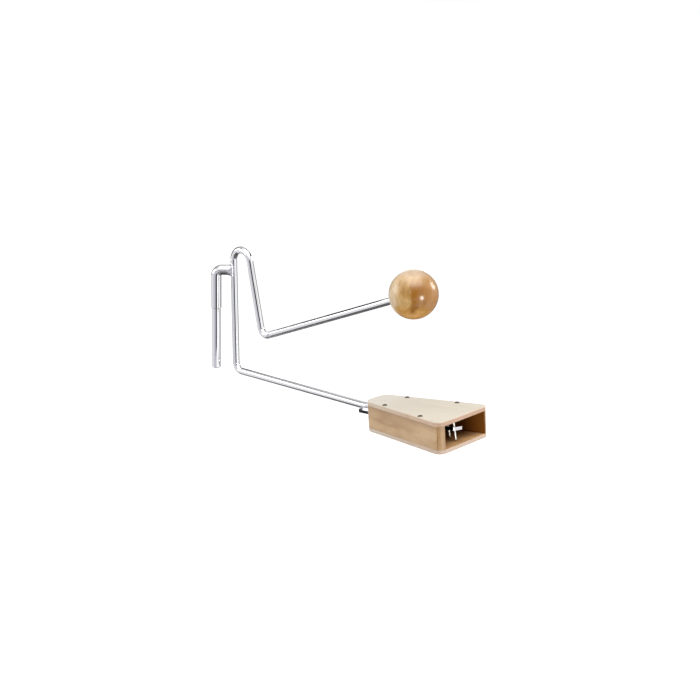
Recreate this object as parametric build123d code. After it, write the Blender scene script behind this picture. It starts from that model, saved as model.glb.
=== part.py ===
from build123d import *
import os
from math import cos, radians, sin, tan

# Vibraslap: one bent chrome rod carries a striker ball at its upper end and a flared sound box at
# its lower end. Loose steel pins stand in a perforated tongue inside the box and rattle when the
# ball is slapped. A mounting post is welded to the rod's upright run.
# Millimetres and degrees. +Z runs up the post, +X from the post towards the sound box, and the
# origin is the centre of the post's shoulder, where the clamp section begins.

# Mounting post: a round bar, turned down below its shoulder and bent over at the top
clamp_d = 9.525
clamp_length = 69.0
clamp_chamfer = 0.8
post_d = 11.3
shoulder_chamfer = 0.5
post_bend_radius = 6.5
stub_height = 43.25
stub_reach = 19.3
stub_swing = 45.0

# Weld between the stub and the rod
weld_gap = 0.05
weld_length = 3.8
weld_flare = 2.2
weld_lap = 2.2

# Spring rod: straight runs and bends, from the weld up to the ball and down to the box
rod_d = 7.5
run_lean = 2.4
run_above = 10.8
loop_radius = 13.4
leg_lean = 14.9
leg_length = 83.0
bend_radius = 9.0
arm_rise = 23.6
arm_length = 229.5
run_below = 114.0
lower_rise = 3.6
lower_length = 195.4
seat_bend_radius = 40.0
seat_outside = 15.0
seat_inside = 14.0

# Striker ball
ball_d = 47.8
bore_clearance = 0.15
bore_depth = 31.0
bore_end_gap = 1.0
bore_chamfer = 0.6

# Sound box: outline at its sharp corners, before they are rounded
box_pitch = 7.25
box_length = 115.0
narrow_width = 29.9
wide_width = 76.2
box_height = 31.0
plate_t = 4.3
wall_t = 8.0
narrow_corner_radius = 11.0
wide_corner_radius = 7.6
plate_edge_radius = 1.0
block_length = 26.0
overrun = 2.0

# Rattle tongue: a steel strip held in the narrow end, with a hole for each pin and a slight twist
tongue_t = 3.2
tongue_drop = 0.4
tongue_width = 14.6
tail_width = 9.4
tail_length = 19.5
shoulder_start = 3.0
shoulder_end = 14.0
tongue_front_inset = 8.5
tongue_twist = 8.0
tongue_rise = 0.6
tongue_corner_radius = 2.0
seat_weld_width = 1.0
seat_weld_height = 2.2

# Rattle pins, loose in two staggered rows of holes, leaning back from the box's mouth
pin_count = 7
pin_d = 2.6
pin_length = 20.3
pin_end_radius = 0.5
pin_hole_d = 4.0
pin_front_inset = 11.5
pin_back_inset = 8.1
pin_row_offset = 2.6
pin_tilt = 6.5
pin_seat_gap = 0.05

# Wood screws: raised countersunk heads on the plates, flat ones under the tongue's block
screw_head_d = 5.2
screw_head_h = 2.0
screw_shank_d = 2.6
screw_length = 13.0
screw_clearance = 0.05
screw_head_sink = 0.1
screw_dome_h = 1.2
screw_back_inset = 29.1
screw_front_inset = 31.4
tongue_screw_length = 9.0
tongue_screw_station = 19.0
tongue_screw_spread = 8.2


def heading(angle):
    """Unit vector in the rod's plane, turned up from +X."""
    return Vector(cos(radians(angle)), 0, sin(radians(angle)))


# Rod centre line, worked out from the weld on the upright run
stub_out = Vector(cos(radians(stub_swing)), sin(radians(stub_swing)), 0)
weld_point = stub_out * stub_reach + Vector(0, 0, stub_height)
run_up = heading(90 + run_lean)
loop_tangent = loop_radius / tan(radians((leg_lean - run_lean) / 2))
loop_apex = weld_point + run_up * (run_above + loop_tangent)
arm_corner = loop_apex + heading(leg_lean - 90) * (loop_tangent + leg_length)
ball_centre = arm_corner + heading(arm_rise) * arm_length
rod_tip = ball_centre + heading(arm_rise) * (bore_depth - ball_d / 2 - bore_end_gap)
lower_corner = weld_point - run_up * run_below
seat_start = lower_corner + heading(lower_rise) * lower_length
rod_end = seat_start + heading(box_pitch) * (seat_outside + seat_inside)

# Sound box frame: x from the narrow end to the wide end, z up from mid-height
tongue_top = tongue_t / 2 - tongue_drop
tongue_bottom = tongue_top - tongue_t
tongue_mid = (tongue_top + tongue_bottom) / 2
rod_seat_z = tongue_top + rod_d / 2 + weld_gap
box_origin = seat_start + heading(box_pitch) * seat_outside - heading(box_pitch + 90) * rod_seat_z
box_plane = Plane(origin=box_origin, x_dir=heading(box_pitch), z_dir=heading(box_pitch + 90))
wall_h = box_height - 2 * plate_t
flare = (wide_width - narrow_width) / 2 / box_length
wall_t_across = wall_t * (1 + flare**2) ** 0.5


def half_width(x):
    """Outer half width of the box at x."""
    return narrow_width / 2 + flare * x


def screw(length, dome_h=0.0):
    """Countersunk screw along -Z, with the rim of its head at z = 0 and a dome above it."""
    head_r = screw_head_d / 2
    shank_r = screw_shank_d / 2
    sides = [(head_r, 0), (shank_r, -screw_head_h), (shank_r, -length), (0, -length), (0, dome_h)]
    edges = [*Polyline(*sides).edges()]
    if dome_h > 0:
        dome_r = (head_r**2 + dome_h**2) / (2 * dome_h)
        edges += RadiusArc((0, dome_h), (head_r, 0), dome_r).edges()
    else:
        edges += Line((0, 0), (head_r, 0)).edges()
    return revolve(Plane.XZ * make_face(edges), Axis.Z)


def screw_hole(length):
    """Clearance space for a screw whose head lies just below the surface at z = 0."""
    c = screw_clearance
    top = screw_head_sink
    mouth = Pos(0, 0, -screw_head_h / 2 - top + c) * Cone(
        screw_shank_d / 2 + c, screw_head_d / 2 + c, screw_head_h
    )
    rim = Pos(0, 0, c) * Cylinder(screw_head_d / 2 + c, 2 * top)
    shank = Pos(0, 0, -(length + top + c) / 2) * Cylinder(screw_shank_d / 2 + c, length + top + c)
    return mouth + rim + shank


def screw_places():
    """Plate screws: on the centre line of each side wall."""
    return [
        (x, side * (half_width(x) - wall_t_across / 2))
        for x in (screw_back_inset, box_length - screw_front_inset)
        for side in (-1, 1)
    ]


def make_spring_rod():
    path = FilletPolyline(
        rod_tip,
        arm_corner,
        loop_apex,
        lower_corner,
        seat_start,
        rod_end,
        radius=[bend_radius, loop_radius, bend_radius, seat_bend_radius],
    )
    return sweep(Plane(origin=path @ 0, z_dir=path % 0) * Circle(rod_d / 2), path=path)


def rod_space(radius):
    """Straight cylinder round the rod's upright run, past both edges of the weld."""
    return Plane(origin=weld_point, z_dir=run_up) * Cylinder(radius, 2 * (post_d + 2 * weld_flare))


def make_mount_post():
    butt = weld_point - stub_out * (rod_d / 2 + weld_gap)
    path = FilletPolyline((0, 0, 0), (0, 0, stub_height), butt, radius=post_bend_radius)
    bar = sweep(Plane(origin=(0, 0, 0), z_dir=(0, 0, 1)) * Circle(post_d / 2), path=path)
    bar = chamfer(bar.edges().group_by(Axis.Z)[0], shoulder_chamfer)
    clamp = Pos(0, 0, -clamp_length / 2) * Cylinder(clamp_d / 2, clamp_length)
    clamp = chamfer(clamp.edges().group_by(Axis.Z)[0], clamp_chamfer)
    return bar + clamp - rod_space(rod_d / 2 + weld_gap)


def make_post_weld(post):
    """Coved bead round the stub's butt end, lapping onto the rod."""
    butt = weld_point - stub_out * (rod_d / 2 + weld_gap)
    stub_plane = Plane(origin=butt, x_dir=(0, 0, 1), z_dir=stub_out)
    bar_r = post_d / 2
    foot_r = bar_r + weld_flare
    cove = TangentArc((bar_r, -weld_length), (foot_r, weld_lap), tangent=(0, 1))
    side = Polyline((foot_r, weld_lap), (0, weld_lap), (0, -weld_length), (bar_r, -weld_length))
    profile = Plane.XZ * make_face([*cove.edges(), *side.edges()])
    bead = stub_plane * revolve(profile, Axis.Z)
    no_wider_than_bar = stub_plane * Box(2 * foot_r, post_d, 2 * (weld_length + weld_lap))
    return (bead & no_wider_than_bar) - post - rod_space(rod_d / 2 + weld_gap)


def make_striker_ball():
    inward = Plane(origin=ball_centre, z_dir=heading(arm_rise))
    mouth_z = -ball_d / 2
    bore_r = rod_d / 2 + bore_clearance
    bore = Pos(0, 0, mouth_z + bore_depth / 2) * Cylinder(bore_r, bore_depth)
    lead = Pos(0, 0, mouth_z) * Cone(bore_r + 2 * bore_chamfer, bore_r, 4 * bore_chamfer)
    return inward * (Sphere(ball_d / 2) - bore - lead)


def box_outline():
    corners = Polyline(
        (0, -half_width(0)),
        (box_length, -half_width(box_length)),
        (box_length, half_width(box_length)),
        (0, half_width(0)),
        close=True,
    )
    outline = make_face(corners)
    outline = fillet(outline.vertices().group_by(Axis.X)[0], narrow_corner_radius)
    return fillet(outline.vertices().group_by(Axis.X)[-1], wide_corner_radius)


def hollow(x0, x1):
    """Plan of the tapered space between the side walls, from x0 to x1."""
    y0 = half_width(x0) - wall_t_across
    y1 = half_width(x1) - wall_t_across
    return make_face(Polyline((x0, -y0), (x1, -y1), (x1, y1), (x0, y0), close=True))


def make_plate(outward):
    """Top plate for outward = 1, bottom plate for outward = -1."""
    plate = extrude(box_outline(), plate_t)
    outer = plate.faces().sort_by(Axis.Z)[-1]
    plate = fillet(outer.edges(), plate_edge_radius)
    for x, y in screw_places():
        plate -= Pos(x, y, plate_t) * screw_hole(screw_length)
    plate = Pos(0, 0, wall_h / 2) * plate
    if outward < 0:
        plate = mirror(plate, about=Plane.XY)
    return plate


def make_walls():
    """Near and far side walls, with pilot holes for the plate screws."""
    plan = box_outline() - hollow(-overrun, box_length + overrun)
    walls = Pos(0, 0, -wall_h / 2) * extrude(plan, wall_h)
    for x, y in screw_places():
        hole = Pos(x, y, box_height / 2) * screw_hole(screw_length)
        walls -= hole
        walls -= mirror(hole, about=Plane.XY)
    near, far = walls.solids().sort_by(Axis.Y)
    return near, far


def rod_groove():
    """Round-topped slot over the tongue, as long as the rod's seat inside the box."""
    slot_r = rod_d / 2 + weld_gap
    slot = Pos(0, rod_seat_z) * Circle(slot_r)
    slot += Pos(0, rod_seat_z - slot_r) * Rectangle(2 * slot_r, 2 * slot_r)
    return Pos(-overrun, 0, 0) * extrude(Plane.YZ * slot, overrun + seat_inside + weld_gap)


def make_end_blocks():
    """Wedges above and below the tongue; the upper one is grooved for the rod."""
    plan = box_outline() & hollow(-overrun, block_length)
    upper_h = wall_h / 2 - tongue_top
    lower_h = wall_h / 2 + tongue_bottom
    upper = Pos(0, 0, tongue_top) * extrude(plan, upper_h)
    upper -= rod_groove()
    lower = Pos(0, 0, -wall_h / 2) * extrude(plan, lower_h)
    for y in tongue_screw_rows():
        lower -= Pos(tongue_screw_station, y, tongue_top) * screw_hole(tongue_screw_length)
    return upper, lower


def tongue_screw_rows():
    return (-tongue_screw_spread / 2, tongue_screw_spread / 2)


def pin_places():
    """Hole centres on the tongue, from the wide end in to the end blocks, in a zigzag."""
    front = box_length - pin_front_inset
    back = block_length + pin_back_inset
    pitch = (front - back) / (pin_count - 1)
    return [(front - i * pitch, pin_row_offset * (-1) ** (i + 1)) for i in range(pin_count)]


def tongue_plan(front):
    """Plan of the tongue from its tail to x = front, with square corners there."""
    outline = [(-tail_length, tail_width / 2), (shoulder_start, tail_width / 2)]
    outline += [(shoulder_end, tongue_width / 2), (front, tongue_width / 2)]
    mirrored = [(x, -y) for x, y in reversed(outline)]
    plan = make_face(Polyline(*outline, *mirrored, close=True))
    return fillet(plan.vertices().group_by(Axis.X)[0], tongue_corner_radius)


def tongue_section(x, twist, rise):
    """Cross section at x, with its near side turned up by twist."""
    across = Vector(0, cos(radians(twist)), -sin(radians(twist)))
    plane = Plane(origin=(x, 0, tongue_mid + rise), x_dir=across, z_dir=(1, 0, 0))
    return plane * Rectangle(tongue_width, tongue_t)


def make_tongue():
    """Strip that is flat between the end blocks, and twists and rises a little towards its front."""
    front = box_length - tongue_front_inset
    tongue = Pos(0, 0, tongue_bottom) * extrude(tongue_plan(block_length), tongue_t)
    held = tongue_section(block_length, 0, 0)
    free = tongue_section(front, tongue_twist, tongue_rise)
    tongue += loft([held, free])
    corners = tongue.edges().filter_by(GeomType.LINE).group_by(Axis.X)[-1].sort_by(SortBy.LENGTH)[:2]
    tongue = fillet(corners, tongue_corner_radius)
    for x, y in pin_places():
        tongue -= Pos(x, y, tongue_mid) * Cylinder(pin_hole_d / 2, 2 * tongue_t)
    for y in tongue_screw_rows():
        tongue -= Pos(tongue_screw_station, y, tongue_top) * screw_hole(tongue_screw_length)
    return tongue


def make_seat_welds():
    """Fillet beads along both sides of the rod, on the tongue's tail outside the box."""
    length = seat_outside - tongue_corner_radius
    toe = rod_d / 2 + seat_weld_width
    bead = make_face(
        Polyline((0, 0), (toe, 0), (rod_d / 2 - weld_gap, seat_weld_height), close=True)
    )
    beads = Pos(-length, 0, tongue_top) * extrude(Plane.YZ * bead, length)
    beads += mirror(beads, about=Plane.XZ)
    rod_clear = Rot(0, 90, 0) * Cylinder(rod_d / 2 + weld_gap, 2 * (length + overrun))
    return beads - Pos(0, 0, rod_seat_z) * rod_clear


def make_pin(x, y):
    """Leaning pin through the tongue's hole at (x, y), with its foot on the bottom plate."""
    lean = radians(pin_tilt)
    foot_drop = wall_h / 2 + tongue_mid - pin_seat_gap - pin_d / 2 * sin(lean)
    pin = Pos(0, 0, pin_length / 2 - foot_drop / cos(lean)) * Cylinder(pin_d / 2, pin_length)
    pin = fillet(pin.edges().filter_by(GeomType.CIRCLE), pin_end_radius)
    return Pos(x, y, tongue_mid) * Rot(0, -pin_tilt, 0) * pin


def in_box(shape):
    """Place a shape drawn in the sound box's frame."""
    return box_plane * shape


def make_parts():
    post = make_mount_post()
    near_wall, far_wall = make_walls()
    upper_block, lower_block = make_end_blocks()
    head_z = box_height / 2 - screw_head_sink
    plate_screw = screw(screw_length, screw_dome_h)
    plate_screws = [Pos(x, y, head_z) * plate_screw for x, y in screw_places()]
    tongue_screws = [
        Pos(tongue_screw_station, y, tongue_top - screw_head_sink) * screw(tongue_screw_length)
        for y in tongue_screw_rows()
    ]
    parts = {
        "spring_rod": make_spring_rod(),
        "mount_post": post,
        "post_weld": make_post_weld(post),
        "striker_ball": make_striker_ball(),
        "top_plate": in_box(make_plate(1)),
        "bottom_plate": in_box(make_plate(-1)),
        "near_side_wall": in_box(near_wall),
        "far_side_wall": in_box(far_wall),
        "end_block_upper": in_box(upper_block),
        "end_block_lower": in_box(lower_block),
        "rattle_tongue": in_box(make_tongue()),
        "tongue_weld": in_box(make_seat_welds()),
        "top_plate_screws": Compound([in_box(s) for s in plate_screws]),
        "bottom_plate_screws": Compound(
            [in_box(mirror(s, about=Plane.XY)) for s in plate_screws]
        ),
        "tongue_screws": Compound([in_box(s) for s in tongue_screws]),
    }
    for i, (x, y) in enumerate(pin_places(), start=1):
        parts[f"rattle_pin_{i}"] = in_box(make_pin(x, y))
    return parts


os.makedirs("parts", exist_ok=True)
for name, solid in make_parts().items():
    export_step(solid, f"parts/{name}.step")
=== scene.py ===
import random
from math import cos, pi, radians, sin, sqrt, tan

import bmesh
import bpy
from mathutils import Matrix, Vector


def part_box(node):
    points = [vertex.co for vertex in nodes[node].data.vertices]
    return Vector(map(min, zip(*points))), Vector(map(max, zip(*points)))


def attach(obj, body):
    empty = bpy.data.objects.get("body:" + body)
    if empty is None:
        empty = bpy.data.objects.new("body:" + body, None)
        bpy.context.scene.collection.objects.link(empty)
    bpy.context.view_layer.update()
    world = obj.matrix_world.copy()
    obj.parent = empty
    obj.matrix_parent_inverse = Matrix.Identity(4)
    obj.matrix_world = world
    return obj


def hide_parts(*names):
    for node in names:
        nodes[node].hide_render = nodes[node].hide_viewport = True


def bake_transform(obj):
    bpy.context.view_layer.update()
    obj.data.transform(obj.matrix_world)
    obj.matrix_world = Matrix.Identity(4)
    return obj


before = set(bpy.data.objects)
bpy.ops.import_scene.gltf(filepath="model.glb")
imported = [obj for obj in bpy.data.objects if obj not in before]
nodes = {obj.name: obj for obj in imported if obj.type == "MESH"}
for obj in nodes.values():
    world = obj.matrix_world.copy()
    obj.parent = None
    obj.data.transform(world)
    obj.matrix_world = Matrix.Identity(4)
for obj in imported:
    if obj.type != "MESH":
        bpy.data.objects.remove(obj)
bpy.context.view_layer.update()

MM = 0.001

# Camera, matched to the photograph
VIEW_AZIMUTH = 42.96
VIEW_ELEVATION = 17.74
VIEW_ROLL = 2.0
VIEW_DISTANCE = 1.2
VIEW_TARGET = Vector((191.60, 13.38, -5.07)) * MM
LENS_MM = 61.07

# Studio
FLOOR_Z = -0.6
FLOOR_SIZE = 60.0
AMBIENT = 0.42
FLOOR_GLOW_NEAR = 0.4
FLOOR_GLOW_FAR = 0.7
FLOOR_GLOW_STARTS = 0.3
FLOOR_GLOW_ENDS = 3.0
SHADE_SIZE = 5.0
SHADE_LIFT = 0.005
SHADE_REACH = 2.5
SHADE_STOPS = ((0.0, 0.05), (0.13, 0.09), (0.23, 0.17), (0.32, 0.3), (0.43, 0.5), (0.66, 0.85), (0.9, 1.0))

# Soft boxes: name, azimuth from the camera's side, elevation, width, height, watts, shape
LAMP_DISTANCE = 1.6
LAMPS = (
    ("left_panel", -95, 8, 1.9, 1.5, 14.8, "RECTANGLE"),
    ("overhead_box", 10, 78, 1.6, 1.6, 19.0, "RECTANGLE"),
    ("right_box", 36, 1, 0.42, 0.42, 7.5, "ELLIPSE"),
    ("right_strip", 112, 14, 0.5, 0.9, 10.0, "RECTANGLE"),
)

# Flags that only polished surfaces see: name, azimuths, elevations, shade
CARD_DISTANCE = 0.9
CARD_STEPS = 12
CARDS = (
    ("front_low", (-22, 16), (-23, -8), (0.04, 0.04, 0.045)),
    ("front_gap", (-26, 13), (3, 18), (0.02, 0.02, 0.022)),
    ("front_high", (-5, 20), (18, 34), (0.03, 0.03, 0.033)),
    ("left_gap", (-50, -26), (-36, 25), (0.53, 0.53, 0.6)),
    ("left_shoulder", (-26, -22), (-36, 3), (0.53, 0.53, 0.6)),
    ("left_mid", (-78, -50), (-36, 25), (0.62, 0.62, 0.65)),
    ("left_low", (-112, -78), (-36, -4), (0.82, 0.82, 0.84)),
    ("left_edge", (-117, -70), (-4, 5), (0.65, 0.65, 0.67)),
    ("left_back", (-172, -112), (-36, -7), (0.6, 0.6, 0.62)),
    ("back_dark", (-170, -117), (-6, 27), (0.04, 0.04, 0.04)),
    ("back_ceiling", (-164, -92), (28, 50), (0.5, 0.5, 0.51)),
    ("back_top", (-192, -164), (30, 78), (0.15, 0.15, 0.15)),
    ("right_white", (18, 42), (-36, -5), (1.3, 1.3, 1.3)),
    ("right_grey", (42, 62), (-36, 20), (0.58, 0.58, 0.6)),
    ("right_bright", (62, 94), (-36, 16), (1.3, 1.3, 1.3)),
    ("right_edge", (94, 108), (-36, 16), (0.5, 0.5, 0.51)),
    ("right_back", (108, 128), (-36, 12.5), (0.5, 0.5, 0.51)),
    ("right_far", (128, 162), (-36, 14), (0.35, 0.35, 0.36)),
    ("back_grey", (162, 186), (-36, 0), (0.25, 0.25, 0.25)),
    ("right_rim", (130, 166), (14, 50), (0.1, 0.08, 0.07)),
    ("right_high", (88, 130), (36, 60), (0.12, 0.12, 0.12)),
)

# Rod, repeated from the part: straight runs and bends in one upright plane
ROD_RADIUS = 3.75 * MM
STUB_HEIGHT = 43.25 * MM
STUB_REACH = 19.3 * MM
STUB_SWING = 45.0
RUN_LEAN = 2.4
RUN_ABOVE = 10.8 * MM
RUN_BELOW = 114.0 * MM
LOOP_RADIUS = 13.4 * MM
LEG_LEAN = 14.9
LEG_LENGTH = 83.0 * MM
BEND_RADIUS = 9.0 * MM
ARM_RISE = 23.6
TIP_PAST_CENTRE = 6.1 * MM
LOWER_RISE = 3.6
LOWER_LENGTH = 195.4 * MM
SEAT_BEND_RADIUS = 40.0 * MM
SEAT_OUTSIDE = 15.0 * MM
SEAT_INSIDE = 14.0 * MM
ROD_SIDES = 64
BEND_STEPS = 40
ARM_STEPS = 60
SEAM_PAST_BEND = 2.0 * MM

# Sound box, repeated from the part: x along it, y across it, z up from mid-height
BOX_PITCH = 7.25
ROD_OVER_BOX_MIDDLE = 5.0 * MM
BOX_LENGTH = 115.0 * MM
NARROW_WIDTH = 29.9 * MM
WIDE_WIDTH = 76.2 * MM
BOX_HEIGHT = 31.0 * MM
PLATE_T = 4.3 * MM
PLATE_EDGE_RADIUS = 1.0 * MM
WALL_T = 8.0 * MM
FLARE = (WIDE_WIDTH - NARROW_WIDTH) / 2 / BOX_LENGTH
WALL_T_ACROSS = WALL_T * sqrt(1 + FLARE**2)
WALL_TOP = BOX_HEIGHT / 2 - PLATE_T
ARRIS_INSET = 4.6 * MM

# Screws in the plates: raised countersunk heads with a cross recess
SCREW_HEAD_RADIUS = 2.6 * MM
SCREW_HEAD_H = 2.0 * MM
SCREW_DOME_H = 1.2 * MM
SCREW_SHANK_RADIUS = 1.3 * MM
SCREW_LENGTH = 13.0 * MM
SCREW_SINK = 0.1 * MM
SCREW_BACK_INSET = 29.1 * MM
SCREW_FRONT_INSET = 31.4 * MM
SCREW_SIDES = 96
DOME_RINGS = 22
RECESS_HALF_WIDTH = 0.34 * MM
RECESS_REACH = 1.45 * MM
RECESS_DEPTH = 0.75 * MM
RECESS_SLOPE = 0.14 * MM
SCREW_SEED = 7

# Colours used more than once
JOINT_SHADE = (0.2, 0.1, 0.05)
TONGUE_STEEL = (0.64, 0.62, 0.64)

ACROSS = Vector((0.0, 1.0, 0.0))


def direction(azimuth, elevation):
    """Unit vector out from the object. Azimuth 0 points along -Y, and 90 along +X."""
    a, e = radians(azimuth), radians(elevation)
    return Vector((sin(a) * cos(e), -cos(a) * cos(e), sin(e)))


def heading(angle):
    """Unit vector in the rod's plane, turned up from +X."""
    return Vector((cos(radians(angle)), 0.0, sin(radians(angle))))


def half_width(x):
    """Outer half width of the sound box at x."""
    return NARROW_WIDTH / 2 + FLARE * x


# Places worked out from the sizes above and from the frame

ball_low, ball_high = (Vector(corner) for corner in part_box("striker_ball"))
ball_centre = (ball_low + ball_high) / 2
stub_out = Vector((cos(radians(STUB_SWING)), sin(radians(STUB_SWING)), 0.0))
weld_point = stub_out * STUB_REACH + Vector((0.0, 0.0, STUB_HEIGHT))
run_up = heading(90 + RUN_LEAN)
loop_tangent = LOOP_RADIUS / tan(radians((LEG_LEAN - RUN_LEAN) / 2))
loop_apex = weld_point + run_up * (RUN_ABOVE + loop_tangent)
arm_corner = loop_apex + heading(LEG_LEAN - 90) * (loop_tangent + LEG_LENGTH)
lower_corner = weld_point - run_up * RUN_BELOW
seat_start = lower_corner + heading(LOWER_RISE) * LOWER_LENGTH
rod_end = seat_start + heading(BOX_PITCH) * (SEAT_OUTSIDE + SEAT_INSIDE)
box_origin = seat_start + heading(BOX_PITCH) * SEAT_OUTSIDE
box_origin = box_origin - heading(BOX_PITCH + 90) * ROD_OVER_BOX_MIDDLE
box_turn = Matrix((heading(BOX_PITCH), ACROSS, heading(BOX_PITCH + 90))).transposed().to_4x4()
box_matrix = Matrix.Translation(box_origin) @ box_turn


# Node helpers


def new_material(name):
    material = bpy.data.materials.new(name)
    material.use_nodes = True
    tree = material.node_tree
    return material, tree, tree.nodes["Principled BSDF"]


def add(tree, kind, inputs=None, **settings):
    """A new node. inputs maps a socket's name or number to a value or to another node's output."""
    made = tree.nodes.new(kind)
    for name, value in settings.items():
        setattr(made, name, value)
    for name, value in (inputs or {}).items():
        if isinstance(value, bpy.types.NodeSocket):
            tree.links.new(value, made.inputs[name])
        else:
            made.inputs[name].default_value = value
    return made


def math(tree, operation, a, b=0.0, clamp=False):
    return add(tree, "ShaderNodeMath", {0: a, 1: b}, operation=operation, use_clamp=clamp).outputs[0]


def mix(tree, factor, a, b):
    return add(tree, "ShaderNodeMix", {0: factor, 6: a, 7: b}, data_type="RGBA").outputs[2]


def ramp(tree, factor, stops):
    made = add(tree, "ShaderNodeValToRGB", {0: factor})
    elements = made.color_ramp.elements
    for i, (place, colour) in enumerate(stops):
        element = elements[i] if i < 2 else elements.new(place)
        element.position = place
        element.color = (*colour, 1.0)
    return made.outputs[0]


def grey_ramp(tree, factor, low, high):
    """A plain value that goes from low to high as a noise goes from its usual least to its usual most."""
    return add(tree, "ShaderNodeMapRange", {0: factor, 1: 0.3, 2: 0.7, 3: low, 4: high}).outputs[0]


def step(tree, value, start, end):
    """0 where value is at start, 1 where it is at end, smooth between."""
    made = add(tree, "ShaderNodeMapRange", {0: value, 1: start, 2: end}, interpolation_type="SMOOTHSTEP")
    return made.outputs[0]


def noise(tree, vector, scale, detail=3.0, roughness=0.5, distortion=0.0):
    inputs = {"Vector": vector, "Scale": scale, "Detail": detail}
    inputs.update({"Roughness": roughness, "Distortion": distortion})
    return add(tree, "ShaderNodeTexNoise", inputs).outputs["Fac"]


def stretched(tree, vector, scale):
    return add(tree, "ShaderNodeMapping", {"Vector": vector, "Scale": scale}).outputs[0]


def split(tree, vector):
    return add(tree, "ShaderNodeSeparateXYZ", {0: vector}).outputs


def join(tree, x, y, z):
    return add(tree, "ShaderNodeCombineXYZ", {0: x, 1: y, 2: z}).outputs[0]


def object_place(tree):
    return add(tree, "ShaderNodeTexCoord").outputs["Object"]


def place_in(tree, matrix):
    """Position in the frame that matrix places."""
    inputs = {"Vector": object_place(tree), "Location": matrix.to_translation()}
    inputs["Rotation"] = matrix.to_euler()
    return add(tree, "ShaderNodeMapping", inputs, vector_type="TEXTURE").outputs[0]


def set_inputs(shader, **values):
    for name, value in values.items():
        shader.inputs[name.replace("_", " ")].default_value = value


def bump(tree, shader, height, strength, distance):
    made = add(tree, "ShaderNodeBump", {"Height": height, "Strength": strength, "Distance": distance})
    tree.links.new(made.outputs[0], shader.inputs["Normal"])


# Materials


def tint(tree, colour, amount, strength, target):
    """colour, mixed towards target where amount is 1."""
    return mix(tree, math(tree, "MULTIPLY", amount, strength), colour, (*target, 1.0))


def drawn_noise(tree, place, cycles, detail, roughness, distortion=0.0):
    """Noise drawn out along a grain; cycles are counted per metre on each axis."""
    return noise(tree, stretched(tree, place, cycles), 1.0, detail, roughness, distortion)


def finish_box_wood(tree, shader, colour, streak, inner, roughness, coat):
    """Lacquer on the outside of the box and none on the inside."""
    tree.links.new(colour, shader.inputs["Base Color"])
    tree.links.new(grey_ramp(tree, streak, *roughness), shader.inputs["Roughness"])
    lacquered = math(tree, "SUBTRACT", 1.0, inner)
    tree.links.new(math(tree, "MULTIPLY", lacquered, coat), shader.inputs["Coat Weight"])
    tree.links.new(math(tree, "MULTIPLY", lacquered, 0.5), shader.inputs["Specular IOR Level"])


def chrome_material():
    material, tree, shader = new_material("chrome_plate")
    set_inputs(shader, Metallic=1.0, Base_Color=(0.9, 0.9, 0.92, 1.0))
    place = object_place(tree)
    haze = noise(tree, place, 160.0, 4.0, 0.6)
    tree.links.new(grey_ramp(tree, haze, 0.03, 0.06), shader.inputs["Roughness"])
    bump(tree, shader, noise(tree, place, 90.0, 2.0), 0.015, 0.2 * MM)
    return material


def plate_wood_material():
    """Pale plates: long grain on the faces, a pinker edge, and painted shade inside the box, darker deeper
    in.
    """
    material, tree, shader = new_material("pale_maple")
    place = place_in(tree, box_matrix)
    x, _, z = split(tree, place)
    height = math(tree, "ABSOLUTE", z)
    figure = drawn_noise(tree, place, (9.0, 45.0, 45.0), 5.0, 0.55, 0.6)
    streak = drawn_noise(tree, place, (22.0, 620.0, 620.0), 3.0, 0.6)
    flecks = drawn_noise(tree, place, (150.0, 1400.0, 1400.0), 2.0, 0.5)

    face = ramp(tree, figure, [(0.3, (0.70, 0.62, 0.50)), (0.7, (0.76, 0.69, 0.57))])
    face = tint(tree, face, streak, 0.16, (0.56, 0.45, 0.33))
    face = tint(tree, face, step(tree, flecks, 0.62, 0.75), 0.25, (0.52, 0.38, 0.26))

    edge = ramp(tree, streak, [(0.3, (0.52, 0.34, 0.225)), (0.7, (0.66, 0.475, 0.34))])
    edge = tint(tree, edge, step(tree, x, 85.0 * MM, 0.0), 0.7, (0.62, 0.52, 0.41))
    edge = tint(tree, edge, step(tree, z, 1.0 * MM, -1.0 * MM), 0.4, (0.6, 0.5, 0.42))
    front = step(tree, x, BOX_LENGTH - 6.0 * MM, BOX_LENGTH - 1.0 * MM)
    front = math(tree, "MULTIPLY", front, step(tree, z, -1.0 * MM, 1.0 * MM))
    edge = tint(tree, edge, front, 0.7, (0.5, 0.3, 0.195))

    face_height = BOX_HEIGHT / 2
    outer = step(tree, height, face_height - PLATE_EDGE_RADIUS * 0.8, face_height - PLATE_EDGE_RADIUS * 0.1)
    colour = mix(tree, outer, edge, face)
    # Painted light: the outer faces are lighter towards the narrow end.
    painted_light_narrow_end = math(tree, "MULTIPLY", step(tree, x, 50.0 * MM, 5.0 * MM), outer)
    colour = tint(tree, colour, painted_light_narrow_end, 0.45, (0.8, 0.76, 0.7))
    joint = step(tree, height, WALL_TOP + 0.35 * MM, WALL_TOP + 0.1 * MM)
    colour = tint(tree, colour, joint, 0.35, JOINT_SHADE)

    # Painted shade inside the box: the inner faces darken from the mouth inwards, with some figure in it.
    depth = step(tree, x, BOX_LENGTH - 2.0 * MM, BOX_LENGTH - 45.0 * MM)
    stops = [(0.0, (0.68, 0.41, 0.2)), (0.5, (0.34, 0.16, 0.055)), (1.0, (0.09, 0.035, 0.01))]
    painted_interior_shade = ramp(tree, depth, stops)
    painted_interior_shade = tint(tree, painted_interior_shade, step(tree, figure, 0.45, 0.62), 0.35, (0.16, 0.06, 0.015))
    inner = step(tree, height, WALL_TOP + 0.08 * MM, WALL_TOP + 0.02 * MM)
    colour = mix(tree, inner, colour, painted_interior_shade)

    finish_box_wood(tree, shader, colour, streak, inner, (0.36, 0.5), 0.2)
    set_inputs(shader, Coat_Roughness=0.28)
    bump(tree, shader, streak, 0.06, 0.2 * MM)
    return material


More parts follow.
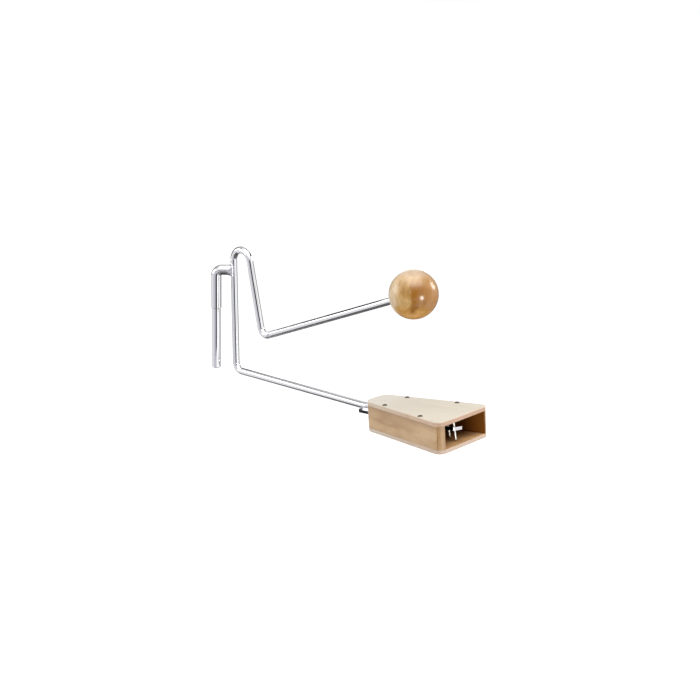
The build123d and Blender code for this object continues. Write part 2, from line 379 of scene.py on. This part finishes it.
def wall_wood_material():
    """Tan walls: solid wood whose rings follow the wall, so its ends show end grain."""
    material, tree, shader = new_material("tan_maple")
    x, y, z = split(tree, place_in(tree, box_matrix))
    outside = math(tree, "ADD", math(tree, "MULTIPLY", x, FLARE), NARROW_WIDTH / 2)
    inward = math(tree, "SUBTRACT", outside, math(tree, "ABSOLUTE", y))
    wood = join(tree, x, inward, z)
    figure = drawn_noise(tree, wood, (17.0, 240.0, 55.0), 4.0, 0.5, 0.8)
    streak = drawn_noise(tree, wood, (26.0, 900.0, 420.0), 3.0, 0.6)
    flecks = drawn_noise(tree, wood, (220.0, 900.0, 700.0), 2.0, 0.5)

    stops = [(0.34, (0.40, 0.215, 0.085)), (0.5, (0.53, 0.33, 0.15)), (0.66, (0.63, 0.42, 0.215))]
    colour = ramp(tree, figure, stops)
    colour = tint(tree, colour, streak, 0.3, (0.40, 0.24, 0.12))
    colour = tint(tree, colour, step(tree, flecks, 0.62, 0.72), 0.5, (0.24, 0.12, 0.045))

    arris_x = BOX_LENGTH - ARRIS_INSET
    end_grain = ramp(tree, streak, [(0.35, (0.40, 0.22, 0.085)), (0.65, (0.53, 0.325, 0.145))])
    end_grain = tint(tree, end_grain, step(tree, inward, 4.0 * MM, WALL_T_ACROSS), 0.5, (0.34, 0.22, 0.12))
    end = math(tree, "MULTIPLY", step(tree, x, arris_x, arris_x + 0.6 * MM), 0.8)
    colour = mix(tree, end, colour, end_grain)
    # Painted shade: a thin dark line down the rounded corner at the wide end.
    from_arris = math(tree, "ABSOLUTE", math(tree, "SUBTRACT", x, arris_x))
    colour = tint(tree, colour, step(tree, from_arris, 0.75 * MM, 0.2 * MM), 0.6, (0.2, 0.09, 0.025))

    # Painted shade under the top plate: the wall darkens towards its top.
    painted_shade_under_plate = step(tree, z, WALL_TOP - 7.0 * MM, WALL_TOP)
    colour = tint(tree, colour, painted_shade_under_plate, 0.7, (0.36, 0.2, 0.085))
    joint = step(tree, math(tree, "ABSOLUTE", z), WALL_TOP - 0.3 * MM, WALL_TOP - 0.05 * MM)
    colour = tint(tree, colour, joint, 0.4, JOINT_SHADE)

    # Painted shade inside the box: the inner faces darken from the mouth inwards.
    depth = step(tree, x, BOX_LENGTH - 4.0 * MM, BOX_LENGTH - 50.0 * MM)
    stops = [(0.0, (0.22, 0.08, 0.014)), (0.4, (0.08, 0.022, 0.002)), (1.0, (0.035, 0.01, 0.001))]
    painted_interior_shade = ramp(tree, depth, stops)
    inner = step(tree, inward, WALL_T_ACROSS - 0.12 * MM, WALL_T_ACROSS - 0.04 * MM)
    inner = math(tree, "MULTIPLY", inner, step(tree, x, 1.0 * MM, 4.0 * MM))
    colour = mix(tree, inner, colour, painted_interior_shade)

    finish_box_wood(tree, shader, colour, streak, inner, (0.38, 0.52), 0.6)
    set_inputs(shader, Coat_Roughness=0.16)
    bump(tree, shader, streak, 0.05, 0.2 * MM)
    return material


def ball_wood_material():
    """Turned ball under gloss lacquer: a dark flame of heartwood on its front, and painted light on its top
    and left rim.
    """
    material, tree, shader = new_material("lacquered_ball_wood")
    facing = direction(VIEW_AZIMUTH, VIEW_ELEVATION)
    side = Vector((cos(radians(VIEW_AZIMUTH)), sin(radians(VIEW_AZIMUTH)), 0.0))
    turn = Matrix((side, -facing, facing.cross(side))).transposed().to_4x4()
    place = place_in(tree, Matrix.Translation(ball_centre) @ turn)
    wander = drawn_noise(tree, place, (70.0, 70.0, 35.0), 3.0, 0.5)
    ragged = drawn_noise(tree, place, (190.0, 190.0, 110.0), 2.0, 0.5)
    figure = drawn_noise(tree, place, (85.0, 85.0, 40.0), 5.0, 0.6, 1.6)
    streak = drawn_noise(tree, place, (420.0, 420.0, 60.0), 3.0, 0.6)
    x, _, z = split(tree, place)
    for waves, reach in ((wander, 16.0 * MM), (ragged, 9.0 * MM)):
        x = math(tree, "ADD", x, math(tree, "MULTIPLY", math(tree, "SUBTRACT", waves, 0.5), reach))

    stops = [(0.32, (0.38, 0.19, 0.035)), (0.52, (0.53, 0.3, 0.085)), (0.7, (0.66, 0.43, 0.17))]
    left = ramp(tree, figure, stops)
    right = ramp(tree, figure, [(0.32, (0.34, 0.14, 0.012)), (0.68, (0.45, 0.2, 0.04))])
    colour = mix(tree, step(tree, x, -5.0 * MM, 9.0 * MM), left, right)
    colour = tint(tree, colour, step(tree, z, -9.0 * MM, -22.0 * MM), 1.0, (0.64, 0.32, 0.07))

    flame_axis = math(tree, "MULTIPLY", math(tree, "ADD", z, 4.0 * MM), 0.1)
    off_axis = math(tree, "ABSOLUTE", math(tree, "SUBTRACT", x, flame_axis))
    flame_width = math(tree, "MULTIPLY", math(tree, "ADD", z, 26.0 * MM), 0.2, clamp=True)
    flame = step(tree, math(tree, "SUBTRACT", flame_width, off_axis), -3.0 * MM, 1.0 * MM)
    for start, end in ((12.0 * MM, 6.0 * MM), (-22.0 * MM, -16.0 * MM)):
        flame = math(tree, "MULTIPLY", flame, step(tree, z, start, end))
    colour = tint(tree, colour, flame, 0.95, (0.33, 0.125, 0.006))

    # Painted light: the top is lighter, more so on the left than on the right.
    across = add(tree, "ShaderNodeMapRange", {0: x, 1: -8.0 * MM, 2: 14.0 * MM, 3: 0.9, 4: 0.3}).outputs[0]
    painted_top_light = math(tree, "MULTIPLY", step(tree, z, 2.0 * MM, 16.0 * MM), across)
    colour = tint(tree, colour, painted_top_light, 1.0, (0.76, 0.52, 0.29))
    # Painted highlight: whiter still at the very top.
    colour = tint(tree, colour, step(tree, z, 12.0 * MM, 22.0 * MM), 0.6, (0.8, 0.66, 0.51))
    # Painted light: a lighter left rim.
    colour = tint(tree, colour, step(tree, x, -13.0 * MM, -22.0 * MM), 0.75, (0.8, 0.64, 0.43))
    colour = tint(tree, colour, step(tree, streak, 0.4, 0.7), 0.24, (0.3, 0.14, 0.04))

    tree.links.new(colour, shader.inputs["Base Color"])
    tree.links.new(grey_ramp(tree, streak, 0.34, 0.46), shader.inputs["Roughness"])
    set_inputs(shader, Coat_Weight=1.0, Coat_Roughness=0.2, Coat_IOR=1.55, Specular_IOR_Level=0.08)
    return material


def steel_material(name, colour, roughness):
    material, tree, shader = new_material(name)
    set_inputs(shader, Metallic=1.0, Base_Color=(*colour, 1.0))
    brushing = drawn_noise(tree, object_place(tree), (120.0, 900.0, 900.0), 3.0, 0.6)
    tree.links.new(grey_ramp(tree, brushing, *roughness), shader.inputs["Roughness"])
    bump(tree, shader, brushing, 0.05, 0.1 * MM)
    return material


def tongue_material():
    """Spring steel strip: bright faces, dark long edges, and painted shade where it enters the box."""
    material = steel_material("tongue_steel", TONGUE_STEEL, (0.16, 0.26))
    tree = material.node_tree
    shader = tree.nodes["Principled BSDF"]
    normal = split(tree, add(tree, "ShaderNodeTexCoord").outputs["Normal"])
    x = split(tree, place_in(tree, box_matrix))[0]
    # The long edges, which face across the strip, are darker; near and inside the box the strip darkens,
    # painted shade.
    dark_long_edges = step(tree, math(tree, "ABSOLUTE", normal[1]), 0.6, 0.9)
    shaded = step(tree, x, -7.0 * MM, -1.0 * MM)
    shaded = math(tree, "MULTIPLY", shaded, step(tree, x, 30.0 * MM, 20.0 * MM))
    dark = math(tree, "MAXIMUM", dark_long_edges, math(tree, "MULTIPLY", shaded, 0.9))
    colour = tint(tree, (*TONGUE_STEEL, 1.0), dark, 1.0, (0.03, 0.03, 0.032))
    tree.links.new(colour, shader.inputs["Base Color"])
    return material


def dress(material, *names):
    for name in names:
        nodes[name].data.materials.clear()
        nodes[name].data.materials.append(material)


# Pieces


def new_piece(name, bm, material):
    bmesh.ops.recalc_face_normals(bm, faces=bm.faces)
    mesh = bpy.data.meshes.new(name)
    bm.to_mesh(mesh)
    bm.free()
    mesh.materials.append(material)
    piece = bpy.data.objects.new(name, mesh)
    bpy.context.collection.objects.link(piece)
    return piece


def rounded_path(corners, radii):
    """Points and directions along straight runs that are joined by arcs."""
    stations = [(corners[0], (corners[1] - corners[0]).normalized())]
    for before, corner, after, radius in zip(corners, corners[1:], corners[2:], radii):
        coming = (corner - before).normalized()
        going = (after - corner).normalized()
        turn = coming.angle(going)
        first = corner - coming * radius * tan(turn / 2)
        centre = corner + (going - coming).normalized() * radius / cos(turn / 2)
        axis = coming.cross(going).normalized()
        for i in range(BEND_STEPS + 1):
            spin = Matrix.Rotation(turn * i / BEND_STEPS, 3, axis)
            stations.append((centre + spin @ (first - centre), spin @ coming))
    last_run = (corners[-1] - corners[-2]).normalized()
    return [*stations, (corners[-1], last_run)]


def swept_rod(name, stations, material):
    """Round bar along stations in the rod's plane, closed at both ends."""
    bm = bmesh.new()
    rings = []
    for point, along in stations:
        out = along.cross(ACROSS)
        angles = [2 * pi * i / ROD_SIDES for i in range(ROD_SIDES)]
        rings.append([bm.verts.new(point + (out * cos(a) + ACROSS * sin(a)) * ROD_RADIUS) for a in angles])
    for one, two in zip(rings, rings[1:]):
        for i in range(ROD_SIDES):
            j = (i + 1) % ROD_SIDES
            bm.faces.new((one[i], one[j], two[j], two[i])).smooth = True
    bm.faces.new(rings[0])
    bm.faces.new(rings[-1])
    return new_piece(name, bm, material)


def make_rod(material):
    """The rod in two lengths: one stays with the frame, and the other is the straight arm out to the ball.
    """
    arm_way = heading(ARM_RISE)
    arm_turn = radians(90 - LEG_LEAN + ARM_RISE)
    seam = arm_corner + arm_way * (BEND_RADIUS * tan(arm_turn / 2) + SEAM_PAST_BEND)
    tip = ball_centre + arm_way * TIP_PAST_CENTRE
    corners = [rod_end, seat_start, lower_corner, loop_apex, arm_corner, seam]
    radii = [SEAT_BEND_RADIUS, BEND_RADIUS, LOOP_RADIUS, BEND_RADIUS]
    fixed = swept_rod("rod_frame", rounded_path(corners, radii), material)
    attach(fixed, "frame")
    stations = [(seam.lerp(tip, i / ARM_STEPS), arm_way) for i in range(ARM_STEPS + 1)]
    arm = swept_rod("rod_arm", stations, material)
    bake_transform(arm)
    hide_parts("spring_rod")
    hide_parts("spring_rod")


def recess(x, y):
    """Depth of the cross recess in a screw's head."""
    def arm(along, beside):
        inside = min(RECESS_HALF_WIDTH - abs(beside), RECESS_REACH - abs(along))
        return max(0.0, min(1.0, inside / RECESS_SLOPE))
    return RECESS_DEPTH * max(arm(x, y), arm(y, x))


def add_screw(bm, matrix):
    """Screw along -Z of matrix, with the rim of its raised head at z = 0."""
    def ring(radius, z, carved=False):
        made = []
        for i in range(SCREW_SIDES):
            a = 2 * pi * i / SCREW_SIDES
            x, y = radius * cos(a), radius * sin(a)
            depth = recess(x, y) if carved else 0.0
            made.append(bm.verts.new(matrix @ Vector((x, y, z - depth))))
        return made

    dome_radius = (SCREW_HEAD_RADIUS**2 + SCREW_DOME_H**2) / (2 * SCREW_DOME_H)
    rings = []
    for k in range(1, DOME_RINGS + 1):
        radius = SCREW_HEAD_RADIUS * k / DOME_RINGS
        rise = sqrt(dome_radius**2 - radius**2) - dome_radius + SCREW_DOME_H
        rings.append(ring(radius, rise, carved=True))
    rings.append(ring(SCREW_SHANK_RADIUS, -SCREW_HEAD_H))
    rings.append(ring(SCREW_SHANK_RADIUS, -SCREW_LENGTH))
    top = bm.verts.new(matrix @ Vector((0.0, 0.0, SCREW_DOME_H - RECESS_DEPTH)))
    for i in range(SCREW_SIDES):
        j = (i + 1) % SCREW_SIDES
        bm.faces.new((top, rings[0][i], rings[0][j])).smooth = True
        for k, (one, two) in enumerate(zip(rings, rings[1:])):
            bm.faces.new((one[i], one[j], two[j], two[i])).smooth = k + 1 < DOME_RINGS
    bm.faces.new(rings[-1])


def make_plate_screws(material):
    """Four screws in each plate, each driven to its own angle."""
    angles = random.Random(SCREW_SEED)
    for plate, flip in (("top", 0.0), ("bottom", pi)):
        bm = bmesh.new()
        for x in (SCREW_BACK_INSET, BOX_LENGTH - SCREW_FRONT_INSET):
            for side in (-1, 1):
                place = Vector((x, side * (half_width(x) - WALL_T_ACROSS / 2), 0.0))
                up = Matrix.Rotation(flip, 4, "X")
                lift = Matrix.Translation((0.0, 0.0, BOX_HEIGHT / 2 - SCREW_SINK))
                spin = Matrix.Rotation(angles.uniform(0.0, pi / 2), 4, "Z")
                add_screw(bm, box_matrix @ Matrix.Translation(place) @ up @ lift @ spin)
        screws = new_piece(f"{plate}_cross_screws", bm, material)
        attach(screws, "frame")
        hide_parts(f"{plate}_plate_screws")


def dress_object():
    chrome = chrome_material()
    make_rod(chrome)
    dress(chrome, "mount_post")
    dress(steel_material("plated_weld", (0.88, 0.88, 0.93), (0.3, 0.42)), "post_weld", "tongue_weld")
    dress(plate_wood_material(), "top_plate", "bottom_plate")
    dress(wall_wood_material(), "near_side_wall", "far_side_wall", "end_block_upper", "end_block_lower")
    dress(ball_wood_material(), "striker_ball")
    dress(tongue_material(), "rattle_tongue")
    pins = [name for name in nodes if name.startswith("rattle_pin")]
    dress(steel_material("pin_steel", (0.55, 0.525, 0.48), (0.3, 0.4)), *pins)
    dark_steel = steel_material("screw_steel", (0.13, 0.11, 0.095), (0.3, 0.42))
    dress(dark_steel, "tongue_screws")
    make_plate_screws(dark_steel)


# Camera and studio


def make_camera():
    a, roll = radians(VIEW_AZIMUTH), radians(VIEW_ROLL)
    back = direction(VIEW_AZIMUTH, VIEW_ELEVATION)
    right = Vector((cos(a), sin(a), 0.0))
    up = back.cross(right)
    rolled_right = right * cos(roll) + up * sin(roll)
    rolled_up = up * cos(roll) - right * sin(roll)
    camera = bpy.data.objects.new("camera", bpy.data.cameras.new("camera"))
    camera.data.lens = LENS_MM
    camera.data.clip_start = 0.01
    camera.data.clip_end = 100.0
    turn = Matrix((rolled_right, rolled_up, back)).transposed()
    camera.matrix_world = Matrix.Translation(VIEW_TARGET + back * VIEW_DISTANCE) @ turn.to_4x4()
    bpy.context.collection.objects.link(camera)
    bpy.context.scene.camera = camera


def seen_directly(tree):
    """1 for camera, glossy and transmission rays, and 0 for light that falls on the object."""
    path = add(tree, "ShaderNodeLightPath").outputs
    seen = math(tree, "MAXIMUM", path["Is Camera Ray"], path["Is Glossy Ray"])
    return math(tree, "MAXIMUM", seen, path["Is Transmission Ray"])


def make_world():
    world = bpy.data.worlds.new("studio")
    bpy.context.scene.world = world
    world.use_nodes = True
    tree = world.node_tree
    shade = tree.nodes["Background"]
    shade.inputs["Color"].default_value = (1.0, 1.0, 1.0, 1.0)
    strength = add(tree, "ShaderNodeMix", {0: seen_directly(tree), 2: AMBIENT, 3: 1.0}).outputs[0]
    tree.links.new(strength, shade.inputs["Strength"])


def distance_out(tree):
    """Distance from the point below the object, on the floor."""
    spot = Vector((VIEW_TARGET.x, VIEW_TARGET.y, 0.0))
    place = add(tree, "ShaderNodeMapping", {"Vector": object_place(tree), "Location": -spot}).outputs[0]
    return add(tree, "ShaderNodeVectorMath", {0: place}, operation="LENGTH").outputs["Value"]


def flat_square(name, size, z):
    mesh = bpy.data.meshes.new(name)
    h = size / 2
    mesh.from_pydata([(-h, -h, 0), (h, -h, 0), (h, h, 0), (-h, h, 0)], [], [(0, 1, 2, 3)])
    square = bpy.data.objects.new(name, mesh)
    square.location.z = z
    bpy.context.collection.objects.link(square)
    return square


def make_floor():
    """White sweep; it glows a little for the camera, more where the lamps don't reach."""
    floor = flat_square("floor", FLOOR_SIZE, FLOOR_Z)
    material, tree, shader = new_material("pale_floor")
    set_inputs(shader, Base_Color=(0.86, 0.86, 0.86, 1.0), Roughness=0.9)
    set_inputs(shader, Emission_Color=(1.0, 1.0, 1.0, 1.0), Specular_IOR_Level=0.0)
    limits = {1: FLOOR_GLOW_STARTS, 2: FLOOR_GLOW_ENDS, 3: FLOOR_GLOW_NEAR, 4: FLOOR_GLOW_FAR}
    reach = add(tree, "ShaderNodeMapRange", {0: distance_out(tree), **limits}).outputs[0]
    glow = math(tree, "MULTIPLY", seen_directly(tree), reach)
    tree.links.new(glow, shader.inputs["Emission Strength"])
    floor.data.materials.append(material)


def only_in_reflections(flag):
    flag.visible_camera = False
    flag.visible_diffuse = False
    flag.visible_transmission = False
    flag.visible_volume_scatter = False
    flag.visible_shadow = False


def glow_material(name, shade):
    material, tree, shader = new_material(name)
    set_inputs(shader, Base_Color=(0, 0, 0, 1), Roughness=1.0, Specular_IOR_Level=0.0)
    set_inputs(shader, Emission_Color=(*shade, 1.0), Emission_Strength=1.0)
    return material, tree, shader


def make_dark_below():
    """The table's shade under the object, which polished metal reflects."""
    flag = flat_square("dark_below", SHADE_SIZE, FLOOR_Z + SHADE_LIFT)
    material, tree, shader = glow_material("dark_below", (1.0, 1.0, 1.0))
    stops = [(place, (grey,) * 3) for place, grey in SHADE_STOPS]
    out = math(tree, "DIVIDE", distance_out(tree), SHADE_REACH)
    tree.links.new(ramp(tree, out, stops), shader.inputs["Emission Color"])
    flag.data.materials.append(material)
    only_in_reflections(flag)


def lamp(name, azimuth, elevation, width, height, power, shape):
    """A soft box; azimuth is counted from the camera's side of the object."""
    data = bpy.data.lights.new(name, "AREA")
    data.shape = shape
    data.size, data.size_y = width, height
    data.energy = power
    light = bpy.data.objects.new(name, data)
    out = direction(VIEW_AZIMUTH + azimuth, elevation)
    light.location = VIEW_TARGET + out * LAMP_DISTANCE
    light.rotation_mode = "QUATERNION"
    light.rotation_quaternion = out.to_track_quat("Z", "Y")
    bpy.context.collection.objects.link(light)


def card(name, azimuths, elevations, shade):
    """A curved flag that only polished surfaces see, over a range of angles round the object."""
    bm = bmesh.new()
    (left, right), (low, high) = azimuths, elevations
    rows = []
    for i in range(CARD_STEPS + 1):
        elevation = low + (high - low) * i / CARD_STEPS
        row = []
        for j in range(CARD_STEPS + 1):
            azimuth = VIEW_AZIMUTH + left + (right - left) * j / CARD_STEPS
            row.append(bm.verts.new(VIEW_TARGET + direction(azimuth, elevation) * CARD_DISTANCE))
        rows.append(row)
    for one, two in zip(rows, rows[1:]):
        for j in range(CARD_STEPS):
            bm.faces.new((one[j], one[j + 1], two[j + 1], two[j]))
    mesh = bpy.data.meshes.new(name)
    bm.to_mesh(mesh)
    bm.free()
    flag = bpy.data.objects.new(name, mesh)
    bpy.context.collection.objects.link(flag)
    flag.data.materials.append(glow_material(name, shade)[0])
    only_in_reflections(flag)


def make_studio():
    make_world()
    make_floor()
    make_dark_below()
    for row in LAMPS:
        lamp(*row)
    for row in CARDS:
        card(*row)


bpy.context.scene.view_settings.view_transform = "Standard"
make_camera()
make_studio()
dress_object()
